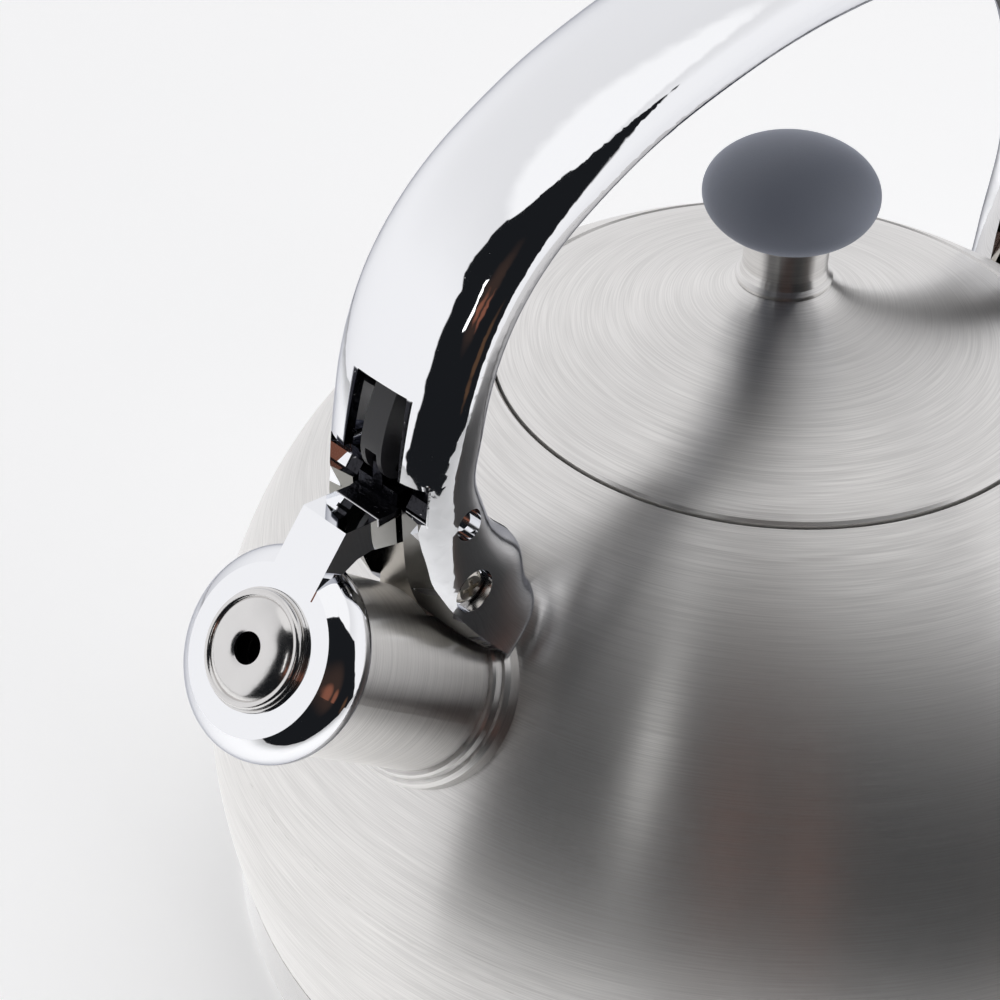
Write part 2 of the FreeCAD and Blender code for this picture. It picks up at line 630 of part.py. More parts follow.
def handle_shell(body):
    """Cast handle: hollow arch with a forked foot at each end."""
    bar = arch_bar()
    channel = arch_strip(CHANNEL_FIRST, CHANNEL_LAST, channel_half, lambda position: SKIN_DEPTH,
                         lambda position: arch_value(position, 2) + 2)
    corners = [(WINDOW_TOP, -WINDOW_TOP_HALF), (WINDOW_TOP, WINDOW_TOP_HALF),
               (FRONT_SLOT_TOP - 1, WINDOW_FOOT_HALF), (FRONT_SLOT_TOP - 1, -WINDOW_FOOT_HALF)]
    window = Part.Face(Part.Wire(lines_through([at(80, height, x) for height, x in corners])))
    window = window.extrude(Vector(0, -40, 0))
    window = window.cut(slab([(60, 140), (91, 140), (91, 180), (60, 180)], 12))
    front_slot = slab([(60, 90), (120, 90), (120, FRONT_SLOT_TOP), (60, FRONT_SLOT_TOP)],
                      SLOT_HALF_WIDTH)
    rear_slot = slab([(-60, 75), (-96.3, 75), (-94.0, REAR_SLOT_TOP), (-60, REAR_SLOT_TOP)],
                     SLOT_HALF_WIDTH)
    saddle = on_spout(Part.makeCylinder(SADDLE_RADIUS, 90, Vector(0, 0, 90)))
    pivot_pocket = [cross_pin(PIVOT_POCKET, PIVOT_POCKET_RADIUS, PIVOT_POCKET_FLOOR, 30),
                    cross_pin(PIVOT_POCKET, PIVOT_POCKET_RADIUS, -30, -PIVOT_POCKET_FLOOR)]
    face = foot_face()
    ring_space = Part.makeCylinder(RING_RADIUS + 0.4, RING_STEP_END + 0.5 - 90, Vector(0, 0, 90))
    notch = slab(NOTCH, NOTCH_HALF_WIDTH)
    cuts = [channel, window, front_slot, rear_slot, saddle, on_spout(ring_space), face, mirrored(face)]
    cuts += [notch, body]
    cuts += screw_pockets(FRONT_SCREW) + screw_pockets(REAR_SCREW) + pivot_pocket
    cuts.append(cross_pin(PIVOT, PIVOT_RADIUS + 0.01, -10, 10))
    shell = bar
    for cut in cuts:
        shell = shell.cut(cut)
    return shell.fuse(spring_stop()).removeSplitter()


def spring_stop():
    """Wall across the channel that the return spring pushes against."""
    position = 11.72
    point, outward = arch_frame(position)
    depth = arch_value(position, 2) - COVER_INSET - COVER_THICKNESS - 0.3
    half = channel_half(position) + 0.5
    wall = Part.makeBox(2 * half, 2.0, depth - 1.0)
    wall.translate(Vector(-half, -1.0, -depth))
    wall.rotate(Vector(0, 0, 0), Vector(1, 0, 0), math.degrees(math.atan2(-outward.y, outward.z)))
    wall.translate(point)
    return wall


def handle_cover():
    """Curved plate that closes the channel under the hand, slotted for the trigger."""
    def half(position):
        return channel_half(position) - 0.1

    def bottom(position):
        return arch_value(position, 2) - COVER_INSET

    def top(position):
        return bottom(position) - COVER_THICKNESS

    plate = arch_strip(COVER_FIRST, CHANNEL_LAST - 0.05, half, top, bottom)
    slot = slab([(52.0, 180), (52.0, 206), (22.0, 206), (22.0, 180)], LOBE_HALF_WIDTH + 0.6)
    return plate.cut(slot)


def front_bracket(body):
    """Folded steel bracket welded over the spout, which the front foot screws to."""
    outline = [(95.6, 100), (93.4, 134.0), (80.0, 134.0), (76.0, 118.0), (76.0, 100)]
    block = slab(outline, BRACKET_HALF_WIDTH)
    inside = [(94.4, 99), (92.2, 136.0), (60.0, 136.0), (60.0, 99)]
    block = block.cut(slab(inside, BRACKET_HALF_WIDTH - BRACKET_SHEET))
    tube = on_spout(Part.makeCylinder(TUBE_RADIUS, 90, Vector(0, 0, 90)))
    ring = on_spout(Part.makeCylinder(RING_RADIUS, RING_STEP_END - 90, Vector(0, 0, 90)))
    hole = cross_pin(FRONT_SCREW, SCREW_RADIUS + 0.02, -12, 12)
    return block.cut([tube, ring, body, hole])


def rear_bracket(body):
    """Folded steel bracket welded to the back of the body."""
    outline = [(-94.5, 80), (-92.8, 117.0), (-80.0, 117.0), (-74.0, 108.0), (-74.0, 80)]
    block = slab(outline, BRACKET_HALF_WIDTH)
    inside = [(-93.3, 79), (-91.6, 119.0), (-60.0, 119.0), (-60.0, 79)]
    block = block.cut(slab(inside, BRACKET_HALF_WIDTH - BRACKET_SHEET))
    return block.cut([body, cross_pin(REAR_SCREW, SCREW_RADIUS + 0.02, -12, 12)])


def foot_screws(place):
    """A cross-head screw through each leg into the bracket."""
    screw = pan_screw(SCREW_SEAT - BRACKET_HALF_WIDTH + BRACKET_SHEET + 0.3, 3.2, 1.8)
    screw.rotate(Vector(0, 0, 0), Vector(0, 1, 0), -90)
    screw.translate(at(place[0], place[1], SCREW_SEAT + 0.02))
    return Part.makeCompound([screw, mirrored(screw)])


def whistle_pivot_pin():
    """Steel pin through both legs and the whistle arm."""
    return cross_pin(PIVOT, PIVOT_RADIUS, -9.6, 9.6)


# --- trigger and link --------------------------------------------------------

def sloped(angle):
    """Unit vector pointing back and up at an angle above the horizontal."""
    return Vector(0, math.cos(math.radians(angle)), math.sin(math.radians(angle)))


def trigger():
    """Sliding finger trigger: a lobe below the handle on a block in the channel."""
    front = sloped(PULL_ANGLE) * -1
    up = Vector(0, front.z, -front.y)
    anchor = at(*TRIGGER_PIN)
    along = [3.4, 3.4, -26.5, -26.5]
    rise = [-1.9, 1.9, 1.9, -1.9]
    corners = [anchor + front * a + up * r + Vector(-RAIL_HALF_WIDTH, 0, 0) for a, r in zip(along, rise)]
    block = Part.Face(Part.Wire(lines_through(corners))).extrude(Vector(2 * RAIL_HALF_WIDTH, 0, 0))
    nose = [at(50.0, 199.6), at(49.6, 195.8), at(46.8, 191.6), at(43.0, 189.4), at(38.6, 189.6),
            at(34.6, 191.4), at(31.6, 194.4), at(30.6, 198.6), at(30.4, 206.0)]
    lobe_edges = [spline_through(nose), Part.LineSegment(nose[-1], nose[0]).toShape()]
    lobe = Part.Face(Part.Wire(lobe_edges)).extrude(Vector(2 * LOBE_HALF_WIDTH, 0, 0))
    lobe.translate(Vector(-LOBE_HALF_WIDTH, 0, 0))
    ridge = [edge for edge in lobe.Edges if edge.Length > 20 and edge.BoundBox.ZMin < 190]
    lobe = lobe.makeFillet(2.6, ridge)
    fork = Part.makeBox(2 * LINK_HALF_WIDTH + 0.4, 9.0, 12.0,
                        Vector(-LINK_HALF_WIDTH - 0.2, -TRIGGER_PIN[0] - 4.5, TRIGGER_PIN[1] - 6))
    rail = block.cut(fork)
    rail = rail.cut(cross_pin(TRIGGER_PIN, TRIGGER_PIN_RADIUS + 0.02, -8, 8))
    return rail.fuse(lobe).removeSplitter()


def trigger_link():
    """Black moulded strip that runs down the channel from the trigger to the arm."""
    strip = arch_strip(5.0, 9.4, lambda position: LINK_HALF_WIDTH, lambda position: LINK_DEPTH,
                       lambda position: LINK_DEPTH + LINK_THICKNESS)
    face = [at(97.0, 166.0, -LINK_HALF_WIDTH), at(98.9, 162.0, -LINK_HALF_WIDTH),
            at(100.2, 158.0, -LINK_HALF_WIDTH), at(100.7, 154.8, -LINK_HALF_WIDTH),
            at(100.3, 152.3, -LINK_HALF_WIDTH), at(98.9, 150.2, -LINK_HALF_WIDTH),
            at(96.8, 149.4, -LINK_HALF_WIDTH), at(95.2, 150.4, -LINK_HALF_WIDTH)]
    back = [face[-1], at(95.0, 153.6, -LINK_HALF_WIDTH), at(94.9, 160.0, -LINK_HALF_WIDTH),
            at(93.8, 165.6, -LINK_HALF_WIDTH), face[0]]
    edges = [spline_through(face)]
    for start, end in zip(back, back[1:]):
        edges.append(Part.LineSegment(start, end).toShape())
    head = Part.Face(Part.Wire(edges)).extrude(Vector(2 * LINK_HALF_WIDTH, 0, 0))
    fork = slab([(110, 140), (110, 155.2), (85, 155.2), (85, 140)], 1.35)
    tail = cross_pin(TRIGGER_PIN, 2.0, -LINK_HALF_WIDTH, LINK_HALF_WIDTH)
    neck = slab([(54.5, 202.2), (58.9, 201.8), (61.0, 201.0), (60.2, 198.6), (54.5, 198.4)],
                LINK_HALF_WIDTH)
    link = strip.fuse([head, tail, neck]).cut(fork)
    link = link.cut(cross_pin(CRANK_PIN, CRANK_PIN_RADIUS + 0.01, -4, 4))
    return link.cut(cross_pin(TRIGGER_PIN, TRIGGER_PIN_RADIUS + 0.02, -4, 4)).removeSplitter()


def crank_pin():
    """Pin that joins the link's fork to the crank of the whistle arm."""
    return cross_pin(CRANK_PIN, CRANK_PIN_RADIUS, -LINK_HALF_WIDTH, LINK_HALF_WIDTH)


def trigger_pin():
    """Pin that joins the link to the trigger."""
    return cross_pin(TRIGGER_PIN, TRIGGER_PIN_RADIUS, -5.6, 5.6)


def return_spring():
    """Compression spring between the trigger and the stop in the handle."""
    start = at(*TRIGGER_PIN) + sloped(PULL_ANGLE) * 26.9 + Vector(0, 0, -0.4)
    turns, wire = 9, 0.35
    rise = SPRING_LENGTH - 2 * wire
    helix = Part.makeHelix(rise / turns, rise, 1.8)
    profile = Part.Wire(Part.makeCircle(wire, Vector(1.8, 0, 0), Vector(0, 1, 0)))
    coil = Part.Wire(helix.Edges).makePipeShell([profile], True, True)
    coil.translate(Vector(0, 0, wire))
    coil.rotate(Vector(0, 0, 0), Vector(1, 0, 0), SPRING_ANGLE - 90)
    coil.translate(start)
    return coil


def build():
    body = body_solid()
    lid = lid_shell()
    return {
        **body_pieces(),
        **base_pieces(),
        "heat_spreader": heat_spreader(),
        "spout_tube": spout_tube(body),
        "spout_ring": spout_ring(body),
        "lid_shell": lid,
        "lid_skirt": lid_skirt(lid),
        "knob_collar": knob_collar(),
        "knob": knob(),
        "knob_insert": knob_insert(),
        "knob_washer": knob_washer(),
        "knob_screw": knob_screw(),
        "whistle_cap": whistle_cap(),
        "whistle_collar": whistle_collar(),
        "whistle_front": whistle_front(),
        "whistle_back": whistle_back(),
        "cap_seal": cap_seal(),
        "handle_shell": handle_shell(body),
        "handle_cover": handle_cover(),
        "front_bracket": front_bracket(body),
        "rear_bracket": rear_bracket(body),
        "front_handle_screws": foot_screws(FRONT_SCREW),
        "rear_handle_screws": foot_screws(REAR_SCREW),
        "whistle_pivot_pin": whistle_pivot_pin(),
        "trigger": trigger(),
        "trigger_link": trigger_link(),
        "crank_pin": crank_pin(),
        "trigger_pin": trigger_pin(),
        "return_spring": return_spring(),
    }


os.makedirs("parts", exist_ok=True)
for name, shape in build().items():
    box = shape.BoundBox
    print(f"{name:20s} solids {len(shape.Solids)} valid {shape.isValid()} volume {shape.Volume:9.1f}"
          f"  x {box.XMin:7.1f} {box.XMax:6.1f}  y {box.YMin:7.1f} {box.YMax:6.1f}"
          f"  z {box.ZMin:6.1f} {box.ZMax:6.1f}")
    shape.exportStep(f"parts/{name}.step")
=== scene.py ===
import json
import math

import bpy
from mathutils import Matrix, Vector

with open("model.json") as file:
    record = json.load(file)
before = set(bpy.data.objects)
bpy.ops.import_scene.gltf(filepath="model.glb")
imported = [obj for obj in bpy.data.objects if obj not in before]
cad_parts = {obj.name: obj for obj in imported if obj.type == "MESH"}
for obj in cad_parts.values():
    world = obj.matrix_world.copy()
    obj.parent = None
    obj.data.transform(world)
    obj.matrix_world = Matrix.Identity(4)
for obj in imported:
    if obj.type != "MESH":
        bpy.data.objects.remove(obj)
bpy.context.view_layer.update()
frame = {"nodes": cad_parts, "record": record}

# Materials, studio and camera of a stovetop whistling kettle, in metres. The spout points to -Y.

NODES = frame["nodes"]


# --- node helpers -------------------------------------------------------------

class Shader:
    """A small writer of node trees."""

    def __init__(self, tree):
        self.tree = tree
        tree.nodes.clear()

    def add(self, kind, **settings):
        """A new node of a kind, with its settings."""
        node = self.tree.nodes.new(kind)
        for key, value in settings.items():
            setattr(node, key, value)
        return node

    def put(self, socket, value):
        """Link an output to a socket, or set the socket's own value."""
        if isinstance(value, bpy.types.NodeSocket):
            self.tree.links.new(value, socket)
        elif value is not None:
            socket.default_value = value

    def math(self, operation, a, b=None):
        """One sum on one or two values."""
        node = self.add("ShaderNodeMath", operation=operation)
        for socket, value in zip(node.inputs, (a, b)):
            self.put(socket, value)
        return node.outputs[0]

    def smooth(self, value, low, high, start=0.0, end=1.0):
        """Eases from start, where value is low, to end, where it is high."""
        node = self.add("ShaderNodeMapRange", interpolation_type="SMOOTHSTEP")
        for socket, item in zip(node.inputs, (value, low, high, start, end)):
            self.put(socket, item)
        return node.outputs[0]

    def noise(self, vector, scale, detail, roughness):
        """Grey noise from 0 to 1, with scale as features per unit of the vector."""
        node = self.add("ShaderNodeTexNoise")
        self.put(node.inputs["Vector"], vector)
        node.inputs["Scale"].default_value = scale
        node.inputs["Detail"].default_value = detail
        node.inputs["Roughness"].default_value = roughness
        return node.outputs["Fac"]

    def mix(self, share, first, second):
        """The first colour where share is 0 and the second where it is 1."""
        node = self.add("ShaderNodeMix", data_type="RGBA")
        self.put(node.inputs["Factor"], share)
        self.put(node.inputs[6], first)
        self.put(node.inputs[7], second)
        return node.outputs[2]

    def combine(self, x, y, z):
        """A vector from its three values."""
        node = self.add("ShaderNodeCombineXYZ")
        for socket, value in zip(node.inputs, (x, y, z)):
            self.put(socket, value)
        return node.outputs[0]

    def split(self, vector):
        """The three values of a vector."""
        node = self.add("ShaderNodeSeparateXYZ")
        self.put(node.inputs[0], vector)
        return node.outputs

    def bump(self, height, distance, strength):
        """A normal that makes height look like relief of distance metres."""
        node = self.add("ShaderNodeBump")
        node.inputs["Strength"].default_value = strength
        node.inputs["Distance"].default_value = distance
        self.put(node.inputs["Height"], height)
        return node.outputs[0]


def colour(r, g, b):
    """An opaque colour."""
    return (r, g, b, 1.0)


def material(name):
    """A new material, its node writer and its Principled shader."""
    made = bpy.data.materials.new(name)
    made.use_nodes = True
    shader = Shader(made.node_tree)
    surface = shader.add("ShaderNodeBsdfPrincipled")
    output = shader.add("ShaderNodeOutputMaterial")
    shader.tree.links.new(surface.outputs[0], output.inputs["Surface"])
    return made, shader, surface


# --- materials ------------------------------------------------------------------

# Drop of the rings' level for each metre of radius, so that flat parts get rings too.
RING_LEAN = 0.7
HAIR_RINGS = (90.0, 5200.0, 0.0)        # features per metre along and across the rings, and detail
STREAK_RINGS = (28.0, 1700.0, 2.0)
HAIR_SHARE, STREAK_SHARE = 0.6, 0.4


def brushed_steel(name, centre=(0, 0, 0), tilt=0.0, base=(0.79, 0.775, 0.755), roughness=0.33,
                  anisotropy=0.88):
    """Steel brushed round an axis: fine rings, streaked grey and a stretched shine."""
    made, s, surface = material(name)
    coords = s.add("ShaderNodeTexCoord").outputs["Object"]
    mapping = s.add("ShaderNodeMapping", vector_type="TEXTURE")
    s.put(mapping.inputs[0], coords)
    mapping.inputs["Location"].default_value = centre
    mapping.inputs["Rotation"].default_value = (tilt, 0, 0)
    x, y, z = s.split(mapping.outputs[0])
    radius = s.math("SQRT", s.math("ADD", s.math("MULTIPLY", x, x), s.math("MULTIPLY", y, y)))
    level = s.math("SUBTRACT", z, s.math("MULTIPLY", radius, RING_LEAN))

    def rings(along, across, detail):
        """Noise drawn out along the rings, with features per metre along and across them."""
        place = s.combine(s.math("MULTIPLY", x, along), s.math("MULTIPLY", y, along),
                          s.math("MULTIPLY", level, across))
        return s.noise(place, 1.0, detail, 0.55)

    hair = rings(*HAIR_RINGS)
    streak = rings(*STREAK_RINGS)
    both = s.math("ADD", s.math("MULTIPLY", hair, HAIR_SHARE),
                  s.math("MULTIPLY", streak, STREAK_SHARE))
    cloud = s.noise(coords, 14.0, 3.0, 0.5)
    tone = s.smooth(both, 0.25, 0.75)
    dark = colour(*(c * 0.91 for c in base))
    bright = colour(*(min(c * 1.08, 0.97) for c in base))
    s.put(surface.inputs["Base Color"], s.mix(tone, dark, bright))
    surface.inputs["Metallic"].default_value = 1.0
    rough = s.math("ADD", s.math("MULTIPLY", tone, -0.05), roughness + 0.02)
    s.put(surface.inputs["Roughness"], s.math("ADD", rough, s.math("MULTIPLY", cloud, 0.02)))
    surface.inputs["Anisotropic"].default_value = anisotropy
    surface.inputs["Anisotropic Rotation"].default_value = 0.25
    axis = (0.0, -math.sin(tilt), math.cos(tilt))
    round_axis = s.add("ShaderNodeVectorMath", operation="CROSS_PRODUCT")
    round_axis.inputs[0].default_value = axis
    s.put(round_axis.inputs[1], s.add("ShaderNodeNewGeometry").outputs["True Normal"])
    s.put(surface.inputs["Tangent"], round_axis.outputs[0])
    return made


def inside_box(s, coords, low, high, ease=0.0002):
    """1 inside a box of the part, easing to 0 just outside it."""
    share = None
    for value, start, end in zip(s.split(coords), low, high):
        for limit, sign in ((start, 1.0), (end, -1.0)):
            past = s.math("MULTIPLY", s.math("SUBTRACT", value, limit), sign)
            step = s.smooth(past, -ease, ease)
            share = step if share is None else s.math("MULTIPLY", share, step)
    return share


def chrome(name, base=(0.93, 0.935, 0.95), roughness=0.035, shade_boxes=()):
    """Plated casting: near-mirror with fine dust; inside the boxes painted shade, near-black with
    painted glints, on a rougher, bumped surface.
    """
    made, s, surface = material(name)
    coords = s.add("ShaderNodeTexCoord").outputs["Object"]
    dust = s.noise(coords, 2300.0, 1.0, 0.5)
    specks = s.smooth(dust, 0.80, 0.86)
    handled = s.noise(coords, 90.0, 3.0, 0.6)
    tone = s.mix(specks, colour(*base), colour(0.98, 0.98, 0.98))
    rough = s.math("ADD", s.math("MULTIPLY", handled, 0.02), roughness - 0.01)
    rough = s.math("ADD", rough, s.math("MULTIPLY", specks, 0.4))
    if shade_boxes:
        # Painted shade in the slot and notches: near-black base colour with painted glints, plus
        # extra roughness and bumps.
        shade_and_rough = 0.0
        for box in shade_boxes:
            shade_and_rough = s.math("MAXIMUM", shade_and_rough, inside_box(s, coords, *box))
        glint_noise = s.noise(coords, 900.0, 3.0, 0.65)
        glint = s.smooth(glint_noise, 0.66, 0.70)
        # Painted shade (near-black) with painted glints (light grey specks).
        shade_and_glints = s.mix(glint, colour(0.035, 0.035, 0.04), colour(0.75, 0.75, 0.76))
        tone = s.mix(shade_and_rough, tone, shade_and_glints)
        rough = s.math("ADD", rough, s.math("MULTIPLY", shade_and_rough, 0.25))
        height = s.math("MULTIPLY", s.noise(coords, 420.0, 3.0, 0.6), shade_and_rough)
        s.put(surface.inputs["Normal"], s.bump(height, 0.0008, 0.6))
    s.put(surface.inputs["Base Color"], tone)
    surface.inputs["Metallic"].default_value = 1.0
    surface.inputs["Specular Tint"].default_value = colour(0.42, 0.43, 0.47)
    s.put(surface.inputs["Roughness"], rough)
    return made


def plastic(name, base, roughness, grain, grain_scale, sheen=0.0):
    """Moulded plastic or rubber with a fine spark-eroded grain."""
    made, s, surface = material(name)
    coords = s.add("ShaderNodeTexCoord").outputs["Object"]
    texture = s.noise(coords, grain_scale, 2.0, 0.6)
    cloud = s.noise(coords, 60.0, 3.0, 0.6)
    low = colour(*(c * 0.93 for c in base))
    high = colour(*(c * 1.07 for c in base))
    s.put(surface.inputs["Base Color"], s.mix(cloud, low, high))
    rough = s.math("ADD", s.math("MULTIPLY", texture, 0.12), roughness - 0.06)
    s.put(surface.inputs["Roughness"], rough)
    surface.inputs["Sheen Weight"].default_value = sheen
    surface.inputs["Sheen Roughness"].default_value = 0.5
    surface.inputs["Sheen Tint"].default_value = colour(0.8, 0.85, 1.0)
    s.put(surface.inputs["Normal"], s.bump(texture, grain, 0.6))
    return made


def worn_metal(name, base, roughness, depth=0.00003):
    """Turned or stamped metal with soft blotches and fine marks."""
    made, s, surface = material(name)
    coords = s.add("ShaderNodeTexCoord").outputs["Object"]
    marks = s.noise(coords, 900.0, 3.0, 0.6)
    cloud = s.noise(coords, 120.0, 3.0, 0.6)
    low = colour(*(c * 0.88 for c in base))
    s.put(surface.inputs["Base Color"], s.mix(cloud, low, colour(*base)))
    surface.inputs["Metallic"].default_value = 1.0
    rough = s.math("ADD", s.math("MULTIPLY", marks, 0.12), roughness - 0.06)
    s.put(surface.inputs["Roughness"], rough)
    s.put(surface.inputs["Normal"], s.bump(marks, depth, 0.3))
    return made


# Axis that the spout is brushed round: its lean from the vertical, and a point on it.
SPOUT_TILT = math.radians(50.76)
SPOUT_AXIS_POINT = (0, 0, 0.0258)

# Boxes with painted shade and painted glints on rougher, bumped chrome, as (low corner, high
# corner).
# In the handle: the slot between the front legs, then the notch at its -X side and the one at its
# +X side.
HANDLE_SHADE_BOXES = (((-0.0067, -0.110, 0.100), (0.0067, -0.060, 0.1668)),
                    ((-0.0086, -0.1036, 0.1405), (0.0, -0.090, 0.1535)),
                    ((0.0, -0.0993, 0.1458), (0.0117, -0.090, 0.1535)))
# In the cap: its crank, inside that slot.
CAP_SHADE_BOXES = (((-0.0056, -0.1038, 0.1446), (0.0056, -0.080, 0.160)),)

MATERIALS = {
    "brushed_body": brushed_steel("brushed_body"),
    "brushed_spout": brushed_steel("brushed_spout", SPOUT_AXIS_POINT, SPOUT_TILT),
    "polished_steel": worn_metal("polished_steel", (0.78, 0.765, 0.75), 0.16),
    "chrome": chrome("chrome"),
    "chrome_handle": chrome("chrome_handle", shade_boxes=HANDLE_SHADE_BOXES),
    "chrome_cap": chrome("chrome_cap", shade_boxes=CAP_SHADE_BOXES),
    "band_steel": worn_metal("band_steel", (0.60, 0.59, 0.58), 0.18),
    "satin_foot": worn_metal("satin_foot", (0.34, 0.33, 0.305), 0.34),
    "soft_touch_grey": plastic("soft_touch_grey", (0.125, 0.138, 0.172), 0.60, 0.00005, 4200.0,
                               sheen=0.5),
    "black_plastic": plastic("black_plastic", (0.022, 0.022, 0.025), 0.42, 0.00002, 3000.0),
    "steel_hardware": worn_metal("steel_hardware", (0.62, 0.59, 0.54), 0.24),
    "aluminium_core": worn_metal("aluminium_core", (0.70, 0.71, 0.72), 0.45),
    "brass_insert": worn_metal("brass_insert", (0.72, 0.52, 0.24), 0.35),
    "silicone": plastic("silicone", (0.30, 0.30, 0.31), 0.7, 0.00002, 2500.0),
}

SLOT_OF = {node["node"]: node["material_slot"] for node in frame["record"]["subparts"]}


def dress(node, made):
    """Give a CAD node its one material."""
    mesh = NODES[node].data
    mesh.materials.clear()
    mesh.materials.append(made)


for node, slot in SLOT_OF.items():
    dress(node, MATERIALS[slot])
for node in ("spout_tube", "spout_ring"):
    dress(node, MATERIALS["brushed_spout"])
dress("base_band", MATERIALS["band_steel"])
dress("handle_shell", MATERIALS["chrome_handle"])
dress("whistle_cap", MATERIALS["chrome_cap"])

# Front face of the front legs, which is left satin: its two long edges as (reach, height).
FOOT_FACE_INNER = [(0.0996, 0.1470), (0.0993, 0.1390), (0.0986, 0.1322), (0.0977, 0.1285),
                   (0.0964, 0.1252), (0.0946, 0.1214), (0.0924, 0.1177), (0.0896, 0.1138),
                   (0.0861, 0.1097), (0.0818, 0.1055)]
FOOT_FACE_OUTER = [(0.1006, 0.1470), (0.1002, 0.1405), (0.0995, 0.1370), (0.0987, 0.1334),
                   (0.0971, 0.1300), (0.0956, 0.1270), (0.0933, 0.1233), (0.0910, 0.1200),
                   (0.0882, 0.1164), (0.0830, 0.1104)]
FOOT_FACE_X = (0.0059, 0.0130)          # how far the two edges are from the middle plane
FOOT_FACE_SHARE = (-0.01, 0.97)         # part of the way from one edge to the other that is satin
FOOT_FACE_HEIGHT = (0.104, 0.1472)
FOOT_FACE_FRONT = -0.08                 # everything satin lies in front of this y
FOOT_FACE_TOLERANCE = 0.00013           # how far a face's centre may be from the front face
FOOT_FACE_TURN = 0.6                    # faces that look sideways more than this stay chrome


def off_line(place, line):
    """Distance from a point to a line through points."""
    best = math.inf
    for first, last in zip(line, line[1:]):
        along = last - first
        share = min(max((place - first).dot(along) / along.length_squared, 0.0), 1.0)
        best = min(best, (place - first - along * share).length)
    return best


def make_satin(node, made):
    """Give the faces of a node that lie on the legs' front face the satin material."""
    mesh = NODES[node].data
    mesh.materials.append(made)
    for face in mesh.polygons:
        x, y, z = face.center
        share = (abs(x) - FOOT_FACE_X[0]) / (FOOT_FACE_X[1] - FOOT_FACE_X[0])
        if not FOOT_FACE_SHARE[0] < share < FOOT_FACE_SHARE[1]:
            continue
        if y >= FOOT_FACE_FRONT or not FOOT_FACE_HEIGHT[0] < z < FOOT_FACE_HEIGHT[1]:
            continue
        line = [Vector(inner).lerp(Vector(outer), share)
                for inner, outer in zip(FOOT_FACE_INNER, FOOT_FACE_OUTER)]
        close = off_line(Vector((-y, z)), line) < FOOT_FACE_TOLERANCE
        if close and abs(face.normal.x) < FOOT_FACE_TURN:
            face.material_index = 1


make_satin("handle_shell", MATERIALS["satin_foot"])


# --- studio -------------------------------------------------------------------

# Edges of the tent's dark opening: (elevation, azimuth) in degrees, azimuth 0 towards -Y.
OPENING_LEFT = [(-90, -20), (-20, -19), (-8, -14), (2, -15), (15, -15), (34, -17), (37, -24),
                (40, -27), (59, -27), (62, -20), (67, -5), (72, 8), (75, 20), (77, 45), (90, 45)]
OPENING_RIGHT = [(-90, 130), (-36, 125), (-17, 119), (7, 112), (17, 111), (37, 117), (50, 105),
                 (62, 90), (71, 70), (76, 50), (77, 45), (90, 45)]
LEFT_EASE, RIGHT_EASE = 0.8, 1.0        # half the width of each edge, in degrees

# The room behind the opening: its own colour, then spots in it as
# (azimuth, elevation, inner radius, outer radius, colour), with the angles in degrees.
ROOM_DARK = (0.010, 0.011, 0.013)
ROOM_SPOTS = [(45, 25, 6, 24, (0.040, 0.026, 0.022)), (38, 24, 1, 8, (0.22, 0.085, 0.055)),
              (54, 16, 1, 8, (0.22, 0.085, 0.055)), (97, -20, 2, 9, (0.09, 0.05, 0.03))]

# The tent: brightness of its sides, which fall off as they rise, and colour of its crown.
TENT_SIDE_RISE, TENT_SIDE_LEVEL, TENT_SIDE_BLUE = (18.0, 58.0), (0.93, 0.80), 1.02
TENT_CROWN_RISE, TENT_CROWN = (56.0, 64.0), (0.98, 0.98, 0.99)


